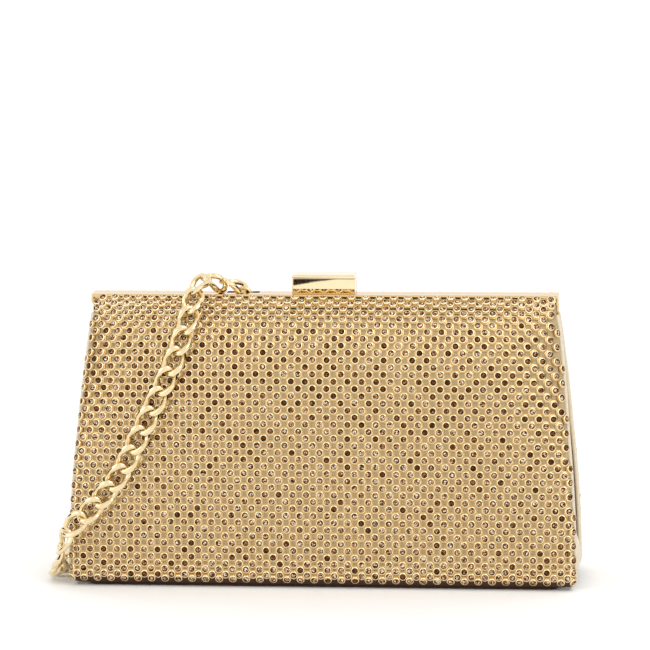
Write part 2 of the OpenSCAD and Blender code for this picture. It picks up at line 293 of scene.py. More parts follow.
def set_shader(tree, **sockets):
    """Sets the shader's inputs by name, with underscores for spaces."""
    named = {name.replace("_", " "): value for name, value in sockets.items()}
    fill(tree, tree.nodes["Principled BSDF"], named)


def spots(tree, size_mm, detail=2.0, stretch=(1, 1, 1)):
    """Uneven spots about size_mm across, fixed to the piece."""
    place = add_node(tree, "ShaderNodeTexCoord").outputs["Object"]
    scale = tuple(k / (size_mm * MM) for k in stretch)
    place = add_node(tree, "ShaderNodeMapping", (), {"Vector": place, "Scale": scale}).outputs["Vector"]
    inputs = {"Vector": place, "Scale": 1.0, "Detail": detail}
    return add_node(tree, "ShaderNodeTexNoise", (), inputs).outputs["Fac"]


IN_COLOUR = {"data_type": "RGBA"}  # a Mix node then mixes inputs 6 and 7 by input 0 into output 2


def set_finish(tree, pattern, tones, roughness, relief=None, **sockets):
    """Sets a shader's colour from two tones, and its roughness and relief from patterns.

    The roughness is a number, or (pattern, least, most). The relief is (pattern, depth in mm, strength).
    """
    if isinstance(roughness, tuple):
        marks, least, most = roughness
        inputs = {"Value": marks, "To Min": least, "To Max": most}
        roughness = add_node(tree, "ShaderNodeMapRange", (), inputs).outputs["Result"]
    if relief:
        height, depth_mm, strength = relief
        inputs = {"Height": height, "Distance": depth_mm * MM, "Strength": strength}
        sockets["Normal"] = add_node(tree, "ShaderNodeBump", (), inputs).outputs["Normal"]
    tone = add_node(tree, "ShaderNodeMix", IN_COLOUR, {0: pattern, 6: tones[0], 7: tones[1]}).outputs[2]
    set_shader(tree, Base_Color=tone, Roughness=roughness, **sockets)


def darker(value, share):
    """A colour with only a share of its light."""
    return tuple(c * share for c in value[:3]) + (1.0,)


def polished_gold():
    """Pale gold plate over brass, wheel polished: a near mirror with hairline marks along the bar."""
    material, tree = new_material("gold_plate_polished")
    gold = colour("plated_gold")
    cloud = spots(tree, 14)
    hair = spots(tree, 0.25, 2, (0.05, 1, 1))
    tones = (gold, darker(gold, 0.93))
    set_finish(tree, cloud, tones, (hair, 0.07, 0.17), (hair, 0.003, 0.5), Metallic=1.0)
    return material


def clasp_gold():
    """Pale gold plate, mirror polished and lacquered: only faint wipe marks show in it."""
    material, tree = new_material("gold_plate_mirror")
    wipe = spots(tree, 1.6, 3, (0.3, 1, 1))
    tones = (linear("#F4E3BF"), linear("#EAD2A4"))
    lacquer = {"Coat_Weight": 0.3, "Coat_Roughness": 0.05}
    set_finish(tree, wipe, tones, (wipe, 0.02, 0.06), (wipe, 0.003, 0.2), Metallic=1.0, **lacquer)
    return material


def chain_gold():
    """Gold plate on bent and flattened wire, with painted highlights on its convex bends and painted shade
    in its hollows.
    """
    material, tree = new_material("gold_plate_chain")
    worn = spots(tree, 2.2, 3)
    # painted light by curvature: bright highlights on convex bends, dark shade in concave ones
    bent = add_node(tree, "ShaderNodeNewGeometry").outputs["Pointiness"]
    stops = ((0.44, "#A87B42"), (0.53, "#F0DAA8"), (0.64, "#FFF6E2"))
    painted_bend_light = add_node(tree, "ShaderNodeValToRGB", (), {"Fac": bent}, stops).outputs["Color"]
    tones = (painted_bend_light, darker(linear("#F0D7A3"), 0.86))
    set_finish(tree, worn, tones, (worn, 0.04, 0.12), (worn, 0.006, 0.3), Metallic=1.0)
    return material


def mesh_gold():
    """Linked solder plates, tumbled then gold plated: a softer shine, browner between the stones."""
    material, tree = new_material("gold_plate_tumbled")
    gold = colour("mesh_gold")
    cloud = spots(tree, 1.3, 3)
    tones = (darker(gold, 0.84), gold)
    set_finish(tree, cloud, tones, (cloud, 0.16, 0.3), (cloud, 0.02, 0.6), Metallic=1.0)
    return material


def cup_gold():
    """Pressed brass cups, bright gold plated: they shine like little rings round the stones."""
    material, tree = new_material("gold_plate_cups")
    gold = colour("cup_gold")
    cloud = spots(tree, 2.6)
    set_finish(tree, cloud, (gold, darker(gold, 0.86)), (cloud, 0.1, 0.24), Metallic=1.0)
    return material


def topaz_glass():
    """Foiled lead glass, machine cut: each facet shows its own tone, from brown through topaz to white,
    which is the glass's topaz colour with painted reflections.
    """
    material, tree = new_material("cut_glass_topaz")
    tone = add_node(tree, "ShaderNodeAttribute", {"attribute_name": "facet"}).outputs["Fac"]
    # painted reflections: each facet's tone picks a colour from dark brown to white
    stops = (
        (0.0, "#2A1205"),
        (0.3, "#5C3415"),
        (0.5, "#96643A"),
        (0.68, "#CB9C72"),
        (0.85, "#EDCBA4"),
        (1.0, "#FFF6E4"),
    )
    set_shader(
        tree,
        Base_Color=add_node(tree, "ShaderNodeValToRGB", (), {"Fac": tone}, stops).outputs["Color"],
        Roughness=0.05,
        IOR=1.5,
        Specular_IOR_Level=0.12,
        Specular_Tint=linear("#F0C28C"),
    )
    return material


def woven(name, thread, spacing_mm, depth_mm, **sockets):
    """Cloth on the piece's own UV map, which is in metres: crossing threads, with uneven yarn."""
    material, tree = new_material(name)
    uv = add_node(tree, "ShaderNodeUVMap", {"uv_map": "cloth"}).outputs["UV"]
    # one wave has a length of 1 / (scale * pi / 10) units
    wave_scale = math.pi / 10 / (spacing_mm * MM)
    inputs = {"Vector": uv, "Scale": wave_scale, "Distortion": 0.4, "Detail": 1.0}
    warp = add_node(tree, "ShaderNodeTexWave", {"bands_direction": "X"}, inputs).outputs["Fac"]
    weft = add_node(tree, "ShaderNodeTexWave", {"bands_direction": "Y"}, inputs).outputs["Fac"]
    weave = add_node(tree, "ShaderNodeMath", {"operation": "MAXIMUM"}, {0: warp, 1: weft}).outputs[0]
    inputs = {0: spots(tree, 6, 3), 6: darker(thread, 0.86), 7: thread}
    yarn = add_node(tree, "ShaderNodeMix", IN_COLOUR, inputs).outputs[2]
    tones, relief = (darker(thread, 0.62), yarn), (weave, depth_mm, 1.0)
    set_finish(tree, weave, tones, relief=relief, Sheen_Roughness=0.35, **sockets)
    return material


def ground_cloth():
    """Plain-woven greige cloth behind the mesh: threads 0.45 mm apart, matt."""
    thread = colour("ground_cloth")
    return woven("woven_ground_cloth", thread, 0.45, 0.12, roughness=0.85, Sheen_Weight=0.0)


def satin():
    """Champagne satin lining: fine warp threads, soft sheen across the folds."""
    return woven("champagne_satin", colour("satin"), 0.3, 0.03, roughness=0.38, Sheen_Weight=0.35)


def leather_of(name, hide, smoothest, roughest):
    """Leather with a pebbled grain about 0.7 mm across, its pebbles darker round their edges."""
    material, tree = new_material(name)
    place = add_node(tree, "ShaderNodeTexCoord").outputs["Object"]
    inputs = {"Vector": place, "Scale": 1 / (0.7 * MM), "Smoothness": 0.6}
    grain = add_node(tree, "ShaderNodeTexVoronoi", {"feature": "SMOOTH_F1"}, inputs).outputs["Distance"]
    cloud = spots(tree, 18, 3)
    inputs = {0: cloud, 6: darker(hide, 0.88), 7: hide}
    dyed = add_node(tree, "ShaderNodeMix", IN_COLOUR, inputs).outputs[2]
    tones, worn = (dyed, darker(hide, 0.74)), (cloud, smoothest, roughest)
    set_finish(tree, grain, tones, worn, (grain, -0.06, 0.7), Specular_IOR_Level=0.28)
    return material


def cream_nappa():
    """Cream nappa leather: fine pebbled grain, soft sheen."""
    return leather_of("cream_nappa_leather", colour("leather"), 0.46, 0.6)


def painted_shade_leather():
    """Nappa leather on the base, painted dark brown for the shade under the bag: fine pebbled grain, dull,
    darker in its creases.
    """
    return leather_of("bronze_nappa_leather", linear("#45250C"), 0.5, 0.66)


def grey_board():
    """Pressed fibre board: flecked with paper fibres, dull."""
    material, tree = new_material("pressed_fibre_board")
    fleck = spots(tree, 0.8, 5, (1, 1, 3))
    stops = ((0.3, "#8D8270"), (0.55, "#A99E89"), (0.75, "#C4BAA5"))
    rough = {"Height": fleck, "Distance": 0.05 * MM, "Strength": 0.6}
    set_shader(
        tree,
        Base_Color=add_node(tree, "ShaderNodeValToRGB", (), {"Fac": fleck}, stops).outputs["Color"],
        Roughness=0.88,
        Normal=add_node(tree, "ShaderNodeBump", (), rough).outputs["Normal"],
    )
    return material


def nickel_steel():
    """Nickel-plated steel, barrel finished: fine even satin with faint handling marks."""
    material, tree = new_material("nickel_plated_steel")
    metal = colour("nickel")
    mark = spots(tree, 0.6, 3)
    tones = (metal, darker(metal, 0.84))
    set_finish(tree, mark, tones, (mark, 0.22, 0.38), (mark, 0.01, 0.4), Metallic=1.0)
    return material


made = {}


def made_once(maker):
    """The material that a maker gives, made the first time it is asked for."""
    if maker not in made:
        made[maker] = maker()
    return made[maker]


# ---------------------------------------------------------------- meshes
def deselect():
    """Leaves edit mode and selects nothing."""
    if bpy.context.object and bpy.context.object.mode != "OBJECT":
        bpy.ops.object.mode_set(mode="OBJECT")
    bpy.ops.object.select_all(action="DESELECT")


def mesh_object(name, vertices, faces):
    """A new object in the scene from points in millimetres."""
    mesh = bpy.data.meshes.new(name)
    mesh.from_pydata((np.asarray(vertices) * MM).tolist(), [], [list(map(int, f)) for f in faces])
    obj = bpy.data.objects.new(name, mesh)
    bpy.context.scene.collection.objects.link(obj)
    return obj


def outward(obj):
    """Turns every face of a closed piece outwards."""
    bm = bmesh.new()
    bm.from_mesh(obj.data)
    bmesh.ops.recalc_face_normals(bm, faces=bm.faces)
    bm.to_mesh(obj.data)
    bm.free()


def select_only(obj):
    """Selects a piece alone and makes it the active one."""
    deselect()
    obj.select_set(True)
    bpy.context.view_layer.objects.active = obj


def smooth(obj, degrees=35):
    """Smooth shading across edges flatter than an angle."""
    select_only(obj)
    bpy.ops.object.shade_smooth_by_angle(angle=math.radians(degrees))


def dress(obj, maker, body=None, replaces=()):
    """Gives a piece its finish, its body and the CAD nodes it stands for."""
    obj.data.materials.clear()
    obj.data.materials.append(made_once(maker))
    if body:
        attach(obj, body)
    if replaces:
        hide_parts(*replaces)


def grid_faces(ni, nj, first=0):
    """Faces of a grid of ni by nj squares whose corners are numbered from first."""
    w = nj + 1
    i, j = np.meshgrid(np.arange(ni), np.arange(nj), indexing="ij")
    a = (first + i * w + j).ravel()
    return np.stack([a, a + w, a + w + 1, a + 1], -1).tolist()


def band_faces(bands, sides):
    """Faces of rings of points that follow each other, one band between each pair."""
    faces = []
    for i in range(bands):
        for k in range(sides):
            j = (k + 1) % sides
            faces.append([i * sides + k, (i + 1) * sides + k, (i + 1) * sides + j, i * sides + j])
    return faces


def closed_sheet(name, outer, inner, uv):
    """A closed sheet between two equal grids of points, with its UV map "cloth" in metres."""
    ni, nj = outer.shape[0] - 1, outer.shape[1] - 1
    w, m = nj + 1, (ni + 1) * (nj + 1)
    faces = grid_faces(ni, nj) + [f[::-1] for f in grid_faces(ni, nj, m)]
    rim = [i * w for i in range(ni + 1)]
    rim += [ni * w + j for j in range(1, nj + 1)]
    rim += [i * w + nj for i in range(ni - 1, -1, -1)]
    rim += [j for j in range(nj - 1, 0, -1)]
    faces += [[b, a, a + m, b + m] for a, b in zip(rim, rim[1:] + rim[:1])]
    obj = mesh_object(name, np.concatenate([outer.reshape(-1, 3), inner.reshape(-1, 3)]), faces)
    flat = np.tile(uv.reshape(-1, 2) * MM, (2, 1))
    layer = obj.data.uv_layers.new(name="cloth")
    corner = np.empty(len(obj.data.loops), np.int32)
    obj.data.loops.foreach_get("vertex_index", corner)
    layer.data.foreach_set("uv", flat[corner].ravel())
    outward(obj)
    return obj


def face_sheet(name, half, top, low, s_values, t_values):
    """A closed layer of the bag's face between two depths under its surface."""
    s, t = np.meshgrid(s_values, t_values, indexing="ij")
    outer = on_half(under_face(s, t, top), half)
    inner = on_half(under_face(s, t, low), half)
    rise = np.linalg.norm(np.diff(outer, axis=1), axis=-1).cumsum(axis=1)
    rise = np.concatenate([np.zeros((outer.shape[0], 1)), rise], axis=1)
    return closed_sheet(name, outer, inner, np.stack([outer[..., 0], rise], -1))


def run_along(points):
    """Distances along a row of points, from the first."""
    return np.concatenate([[0], np.linalg.norm(np.diff(points, axis=0), axis=1).cumsum()])


def sampled(at, run, values):
    """Rows of values at distances along a run."""
    return np.stack([np.interp(at, run, values[:, k]) for k in range(values.shape[1])], -1)


def spline(points, step):
    """A smooth route through points, as evenly spaced points about step apart, in millimetres."""
    p = np.asarray(points, float)
    ext = np.concatenate([[2 * p[0] - p[1]], p, [2 * p[-1] - p[-2]]])
    fine = []
    for i in range(len(p) - 1):
        a, b, c, d = ext[i : i + 4]
        u = np.linspace(0, 1, 24, endpoint=False)[:, None]
        bend, twist = 2 * a - 5 * b + 4 * c - d, 3 * b - a - 3 * c + d
        fine.append(0.5 * (2 * b + (c - a) * u + bend * u**2 + twist * u**3))
    fine = np.concatenate(fine + [p[-1:]])
    run = run_along(fine)
    count = max(2, int(round(run[-1] / step)) + 1)
    return sampled(np.linspace(0, run[-1], count), run, fine), run[-1]


def tube(name, route, radius, sides=10):
    """A round closed tube along a route of points in millimetres, with domed ends."""
    tangent = unit(np.gradient(route, axis=0))
    side = unit(np.cross(tangent, [1.0, 0.0, 0.0]))
    other = np.cross(tangent, side)
    turn = np.linspace(0, 2 * math.pi, sides, endpoint=False)
    rings = []
    dome, narrow = 0.7, 0.45  # how far an end's last ring stands out, and its size, in radii
    for place, a, b, r in [
        (route[0] - tangent[0] * radius * dome, side[0], other[0], radius * narrow),
        *[(route[i], side[i], other[i], radius) for i in range(len(route))],
        (route[-1] + tangent[-1] * radius * dome, side[-1], other[-1], radius * narrow),
    ]:
        rings.append(place + r * (np.outer(np.cos(turn), a) + np.outer(np.sin(turn), b)))
    last = len(rings) - 1
    faces = band_faces(last, sides)
    faces += [list(range(sides)), [last * sides + k for k in reversed(range(sides))]]
    obj = mesh_object(name, np.concatenate(rings), faces)
    outward(obj)
    return obj


# ---------------------------------------------------------------- modelling by operators
def start_edit(obj):
    """Opens a piece in edit mode with no face selected."""
    select_only(obj)
    bpy.ops.object.mode_set(mode="EDIT")
    bpy.ops.mesh.select_mode(type="FACE")
    bpy.ops.mesh.select_all(action="DESELECT")


def pick(kind, test):
    """Selects the faces or edges that pass a test on their centre and normal or direction, in mm."""
    obj = bpy.context.edit_object
    bpy.ops.mesh.select_mode(type="FACE" if kind == "faces" else "EDGE")
    bpy.ops.mesh.select_all(action="DESELECT")
    bm = bmesh.from_edit_mesh(obj.data)
    for e in getattr(bm, kind):
        if kind == "faces":
            chosen = test(e.calc_center_median() / MM, e.normal)
        else:
            a, b = (v.co for v in e.verts)
            chosen = test((a + b) / 2 / MM, (b - a).normalized())
        e.select_set(bool(chosen))
    bm.select_flush_mode()
    bmesh.update_edit_mesh(obj.data)


def end_edit():
    """Closes edit mode."""
    bpy.ops.object.mode_set(mode="OBJECT")


def extrude(x, y, z):
    """Extrudes the picked faces by so many millimetres."""
    bpy.ops.mesh.extrude_region_move(TRANSFORM_OT_translate={"value": (x * MM, y * MM, z * MM)})


def resize(share):
    """Scales what is picked about the upright axis."""
    bpy.ops.transform.resize(value=(share, share, 1), center_override=(0, 0, 0))


def turn_eighth():
    """Turns what is picked by half of one of an octagon's sides."""
    bpy.ops.transform.rotate(
        value=math.pi / 8, orient_axis="Z", center_override=(0, 0, 0), orient_type="GLOBAL"
    )


def slice_at(point, way):
    """Cuts new edges right round the open piece, in a plane through a point in millimetres."""
    bpy.ops.mesh.select_all(action="SELECT")
    bpy.ops.mesh.bisect(plane_co=tuple(c * MM for c in point), plane_no=way)


def block(name, low, high):
    """A box primitive between two corners in millimetres, its place in its mesh."""
    deselect()
    low, high = Vector(low), Vector(high)
    bpy.ops.mesh.primitive_cube_add(size=1, location=(low + high) / 2 * MM, scale=(high - low) * MM)
    return settle(name)


def settle(name):
    """Names the active primitive and moves its place into its mesh."""
    obj = bpy.context.object
    obj.name = name
    obj.data.name = name
    bpy.ops.object.transform_apply(location=True, rotation=True, scale=True)
    return obj


def rod(name, start, length, radius, axis="X", sides=32):
    """A cylinder primitive from a start point along an axis, in millimetres."""
    deselect()
    turn = {"X": (0, math.pi / 2, 0), "Y": (-math.pi / 2, 0, 0), "Z": (0, 0, 0)}[axis]
    step = {"X": Vector((1, 0, 0)), "Y": Vector((0, 1, 0)), "Z": Vector((0, 0, 1))}[axis]
    bpy.ops.mesh.primitive_cylinder_add(
        vertices=sides,
        radius=radius * MM,
        depth=length * MM,
        location=(Vector(start) + step * length / 2) * MM,
        rotation=turn,
    )
    return settle(name)


def even_faces(obj, degrees=40):
    """Smooth shading that leaves flat faces flat, as on machined and polished metal."""
    smooth(obj, degrees)
    apply_modifier(obj, "WEIGHTED_NORMAL", keep_sharp=True, weight=100)


def apply_modifier(obj, kind, **settings):
    """Adds a modifier with its settings and applies it."""
    select_only(obj)
    modifier = obj.modifiers.new(kind.lower(), kind)
    for name, value in settings.items():
        setattr(modifier, name, value)
    bpy.ops.object.modifier_apply(modifier=modifier.name)


def round_edges(obj, width_mm, segments=3, degrees=30):
    """Rounds every edge sharper than an angle."""
    apply_modifier(
        obj,
        "BEVEL",
        width=width_mm * MM,
        segments=segments,
        limit_method="ANGLE",
        angle_limit=math.radians(degrees),
        use_clamp_overlap=True,
    )


def cut(obj, cutter):
    """Cuts a shape out of a piece, and removes the shape."""
    apply_modifier(obj, "BOOLEAN", object=cutter, operation="DIFFERENCE", solver="EXACT")
    bpy.data.objects.remove(cutter)


def join(name, objs):
    """One piece from several."""
    select_only(objs[0])
    for other in objs[1:]:
        other.select_set(True)
    bpy.ops.object.join()
    objs[0].name = name
    objs[0].data.name = name
    return objs[0]


def pattern_of(obj):
    """The points, in millimetres, and faces of a small modelled shape, which is then removed."""
    points = np.array([v.co for v in obj.data.vertices]) / MM
    faces = [list(p.vertices) for p in obj.data.polygons]
    bpy.data.objects.remove(obj)
    return points, faces


def stamped(name, pattern, places, across, up, normal):
    """Copies of a small shape at many places, each turned to its own axes, as one mesh."""
    points, faces = pattern
    k = len(points)
    axes = np.stack([across, up, normal], 1)
    vertices = places[:, None, :] + np.einsum("kc,ncd->nkd", points, axes)
    mesh = bpy.data.meshes.new(name)
    flat = np.concatenate([np.array(f) for f in faces])
    lengths = np.array([len(f) for f in faces])
    n = len(places)
    corner = (flat[None, :] + k * np.arange(n)[:, None]).ravel()
    total = np.tile(lengths, n)
    mesh.vertices.add(n * k)
    mesh.vertices.foreach_set("co", (vertices * MM).astype(np.float32).ravel())
    mesh.loops.add(len(corner))
    mesh.loops.foreach_set("vertex_index", corner.astype(np.int32))
    mesh.polygons.add(len(total))
    starts = np.concatenate([[0], total.cumsum()[:-1]])
    mesh.polygons.foreach_set("loop_start", starts.astype(np.int32))
    mesh.update(calc_edges=True)
    mesh.validate()
    obj = bpy.data.objects.new(name, mesh)
    bpy.context.scene.collection.objects.link(obj)
    return obj


# ---------------------------------------------------------------- crystal mesh
def plate_pattern():
    """One linked plate: an octagon, bevelled on top, that meets its four neighbours on the diagonals."""
    apothem, thick = 0.49 * sizes().stone_pitch / MM, 0.28
    obj = rod("plate", (0, 0, -thick), thick, apothem / math.cos(math.pi / 8), "Z", 8)
    start_edit(obj)
    bpy.ops.mesh.select_all(action="SELECT")
    turn_eighth()
    pick("faces", lambda c, n: n.z > 0.9)
    bpy.ops.mesh.inset(thickness=0.3 * MM, depth=0.1 * MM)
    end_edit()
    return pattern_of(obj)


def cup_pattern():
    """One pressed cup: a ring that swells in the middle and rolls over the edge of its stone."""
    rim = sizes().stone_width / 2 / MM
    foot, belly = rim + 0.34, rim + 0.58
    obj = rod("cup", (0, 0, -0.05), 0.4, foot, "Z", 14)
    start_edit(obj)
    pick("faces", lambda c, n: n.z > 0.9)
    resize(belly / foot)
    now_r, now_z = belly, 0.35
    for radius, height in ((rim + 0.54, 0.62), (rim + 0.33, 0.84), (rim + 0.08, 0.86), (rim - 0.06, 0.5)):
        extrude(0, 0, height - now_z)
        resize(radius / now_r)
        now_r, now_z = radius, height
    end_edit()
    return pattern_of(obj)


def stone_pattern():
    """One cut stone: a table of eight facets and a crown of sixteen, closed underneath."""
    girdle = sizes().stone_width / 2 / MM - 0.02
    girdle_z, crown, table = 0.58, 0.36, 0.56  # its height, the crown's, and the table's share of it
    obj = rod("stone", (0, 0, girdle_z), crown, girdle, "Z", 8)
    start_edit(obj)
    pick("faces", lambda c, n: n.z > 0.9)
    resize(table)
    turn_eighth()
    bpy.ops.mesh.poke(offset=0.02 * MM)
    pick("faces", lambda c, n: abs(n.z) < 0.95 and math.hypot(c.x, c.y) > 0.5 * girdle)
    bpy.ops.mesh.quads_convert_to_tris(quad_method="FIXED", ngon_method="BEAUTY")
    end_edit()
    return pattern_of(obj)


MESH_DEPTH = 0.95  # the plates' tops lie this far under the stones' tables
LOW_SPACING = 0.962  # low down the mesh is slack, and its columns stand this much closer
SLACK_Z, SLACK_H = 20, 70  # it is slack under this height, and less and less over the next stretch
BUNCH_FROM, BUNCH_RUN, BUNCH = 7, 16, 0.14  # columns where the upper left starts to bunch, and how much
SINK = 0.17  # rows sink by this share of the face's fall towards its side edges
FLAT_LOW_Z = 12  # but not below this height, where they follow the base's edge
LAST_COLUMN = 60
EDGE_CLEAR = 0.6  # the last plates' middles stay this far, along the mesh, from its side edges
RIM_ROWS = (1.3, 3.1, 5.0, 7.2, 9.6, 12.1, 14.9)  # distances of the first rows from the rim, on the curve
RIM_LIFT = (1.2, 0.4, 0.6, 0.15, 0.25)  # bunched, these rows ride up on their neighbours
LAST_ROWS = (9.2, 6.9, 4.8, 3.0)  # distances of the last rows from the mesh's lower end


def column(i, rise):
    """Place of a column in steps: the mesh is a little slack low down, and bunched at the upper left."""
    even = LOW_SPACING + (1 - LOW_SPACING) * rise
    past = max(0, -BUNCH_FROM - i)
    more = past * past / (2 * BUNCH_RUN) if past < BUNCH_RUN else past - BUNCH_RUN / 2
    return i * even + BUNCH * rise * more


def lattice(half):
    """Places and axes of every plate: a chequerboard with rows level and equally spaced on the curve."""
    step = sizes().stone_pitch / MM / math.sqrt(2)
    fine = np.linspace(-1, 1, 1200)
    profile = under_face(0 * fine, fine, np.full_like(fine, MESH_DEPTH))
    run = run_along(profile)
    # distances from the rim: the first rows are bunched over the shoulder, the last under the base's edge
    rows = list(RIM_ROWS)
    while run[-1] - rows[-1] > LAST_ROWS[0] + 1.45 * step:
        rows.append(rows[-1] + step)
    rows += [run[-1] - left for left in LAST_ROWS]
    places = []
    for j, row in enumerate(rows):
        row_t = float(np.interp(run[-1] - row, run, fine))
        level = float(row_z(row_t))
        lift = RIM_LIFT[j] if j < len(RIM_LIFT) else 0.0
        wrap, flat = side_edge(level)
        reach = float(flat + SIDE_R * wrap)
        rise = min(1.0, max(0.0, (level - SLACK_Z) / SLACK_H))
        for i in range(-LAST_COLUMN, LAST_COLUMN + 1):
            along = column(i, rise) * step
            if (i + j) % 2 == 0 and abs(along) < reach - EDGE_CLEAR:
                s = along / reach
                # towards the side edges the face falls back, and the rows sink with it
                fall = float(middle_depth(level) - side_depth(level)) * abs(s) ** EDGE_POWER
                z = level - SINK * max(0.0, fall)
                places.append((s, float(t_at_height(z)) if z > FLAT_LOW_Z else row_t, lift))
    s, t, lift = np.array(places).T
    normal = face_normals(s, t)
    origin = face_points(s, t) - normal * (MESH_DEPTH - lift)[:, None]
    across = square_to(np.array([[1.0, 0, 0]]), normal)
    origin, normal, across = (on_half(v, half) for v in (origin, normal, across))
    return origin, across, np.cross(normal, across), normal


DARK_Z, DARK_H = 84, 15  # painted dark reflections in the stones are thickest about this height, and thin out over this one
DARK_MOST, DARK_LEAST = 0.5, 0.16  # their share there, and the share that is dark anywhere
BRIGHT_Z = 104  # over the shoulder the stones face the light, so they are painted lighter and none is dark
REFLECTION_TONES = {0.08: 0.2, 0.3: 0.24, 0.52: 0.18, 0.7: 0.16, 0.88: 0.14, 1.0: 0.08}  # painted reflection tones of the facets, and their shares


def painted_reflection_tones(rng, height, faces):
    """A painted reflection tone from 0, brown, to 1, white, for every facet of stones at some heights."""
    dark = DARK_MOST * np.exp(-(((height - DARK_Z) / DARK_H) ** 2)) + DARK_LEAST
    own = np.where(rng.random(len(height)) < dark, rng.uniform(0.25, 0.62, len(height)), 0.0)
    own = np.where(height > BRIGHT_Z, own * 0.4 - 0.12, own)
    facet = rng.choice(list(REFLECTION_TONES), (len(height), faces), p=list(REFLECTION_TONES.values()))
    facet = facet * (1 - own)[:, None] + rng.uniform(-0.06, 0.06, facet.shape)
    return np.clip(facet, 0, 1)


class BAG_OT_crystal_mesh(bpy.types.Operator):
    """Plates, cups and cut stones over both faces"""

    bl_idname = "bag.crystal_mesh"
    bl_label = "Crystal mesh"

    def execute(self, context):
        plate, cup, stone = plate_pattern(), cup_pattern(), stone_pattern()
        rng = np.random.default_rng(11)
        for half, word in HALVES:
            origin, across, up, normal = lattice(half)
            body = f"{word}_half"
            # each stone sits a little turned and tilted in its cup
            tilt = rng.normal(0, 0.035, (len(origin), 2))
            tilted = unit(normal + across * tilt[:, :1] + up * tilt[:, 1:])
            turn = rng.uniform(0, math.pi / 4, len(origin))[:, None]
            turned = unit(across * np.cos(turn) + up * np.sin(turn))
            turned = square_to(turned, tilted)

            plates = stamped(f"{word}_mesh_plates", plate, origin, across, up, normal)
            cups = stamped(
                f"{word}_stone_cups", cup, origin, across, np.cross(tilted, across), tilted
            )
            stones = stamped(
                f"{word}_stones", stone, origin, turned, np.cross(tilted, turned), tilted
            )
            smooth(plates, 20)
            smooth(cups, 50)
            # painted reflection tones, one for each facet of every stone
            facet = painted_reflection_tones(rng, origin[:, 2], len(stone[1]))
            tone = stones.data.attributes.new("facet", "FLOAT", "FACE")
            tone.data.foreach_set("value", facet.astype(np.float32).ravel())
            dress(plates, mesh_gold, body, [f"{word}_crystal_mesh"])
            dress(cups, cup_gold, body)
            dress(stones, topaz_glass, body)
        return {"FINISHED"}


# ---------------------------------------------------------------- cloth, boards and leather
def face_rows(top=1.0):
    """Rows up a face, closer together round the rolled edge and near the rim."""
    roll = np.linspace(-1, 0, 8, endpoint=False)
    rise = 1 - (1 - np.linspace(0, 1, 46)) ** 1.15
    return np.concatenate([roll, rise[rise <= top]])


class BAG_OT_face_layers(bpy.types.Operator):
    """Ground cloth, shaped boards and linings behind the crystal mesh"""

    bl_idname = "bag.face_layers"
    bl_label = "Face layers"

    def execute(self, context):
        s = np.sin(np.linspace(-1, 1, 65) * math.pi / 2)
        t = face_rows()
        for half, word in HALVES:
            body = f"{word}_half"
            cloth = face_sheet(f"{word}_ground_cloth", half, CLOTH_TOP, CLOTH_LOW, s, t)
            board = face_sheet(f"{word}_board", half, BOARD_TOP, BOARD_LOW, s, t)
            lining = face_sheet(f"{word}_lining_satin", half, LINING_TOP, LINING_LOW, s, t)
            # a dark brown band round the base's edge: painted shade where the bag meets the floor
            name, low_rows = f"{word}_base_binding", np.linspace(-1, -0.3, 7)
            shade_band = face_sheet(name, half, SHADE_BAND_TOP, SHADE_BAND_LOW, s, low_rows)
            for piece in (cloth, board, lining, shade_band):
                smooth(piece, 40)
            dress(shade_band, painted_shade_leather, body)
            dress(cloth, ground_cloth, body)
            dress(board, grey_board, body, [f"{word}_panel"])
            dress(lining, satin, body, [f"{word}_lining"])
        return {"FINISHED"}


class BAG_OT_slip_pocket(bpy.types.Operator):
    """Slip pocket on the front lining, slack at its mouth and turned over at the hem"""

    bl_idname = "bag.slip_pocket"
    bl_label = "Slip pocket"

    def execute(self, context):
        reach, bottom, mouth = 0.6, 1 / 12, 6 / 12  # half its width, and its rows, on the face
        s, t = np.meshgrid(np.linspace(-reach, reach, 49), np.linspace(bottom, mouth, 29), indexing="ij")
        share = (t - bottom) / (mouth - bottom)
        slack = 0.35 + 0.5 * share**3 * np.cos(s / reach * math.pi / 2)
        hem = 0.18 * np.exp(-(((share - 0.93) / 0.02) ** 2))
        outer = on_half(under_face(s, t, LINING_LOW + slack), -1)
        inner = on_half(under_face(s, t, LINING_LOW + slack + 0.45 + hem), -1)
        uv = np.stack([outer[..., 0], outer[..., 2]], -1)
        pocket = closed_sheet("slip_pocket_satin", outer, inner, uv)
        smooth(pocket, 50)
        dress(pocket, satin, "front_half", ["slip_pocket"])
        return {"FINISHED"}


GUSSET_LOW, GUSSET_HIGH = 5.2, 104.0
GUSSET_IN, GUSSET_SHORT = 2.2, 5.4  # how far it stands inside the bag's outline, in width and in depth
TUCK, PUFF, PUFF_Z = 12, 5, 12  # how far its fold goes in at the top and out low down, and where


def gusset_points(v, z):
    """Right gusset: v runs front (-1) to back (1); it puffs out low down and tucks in higher up."""
    tuck = TUCK * z / GUSSET_HIGH - PUFF * np.exp(-(((z - PUFF_Z) / PUFF_Z) ** 2))
    x = half_width(z) + flare(z) / 2 - GUSSET_IN - tuck * (1 - v * v)
    return np.stack([x, v * (side_depth(z) - GUSSET_SHORT), z], -1)


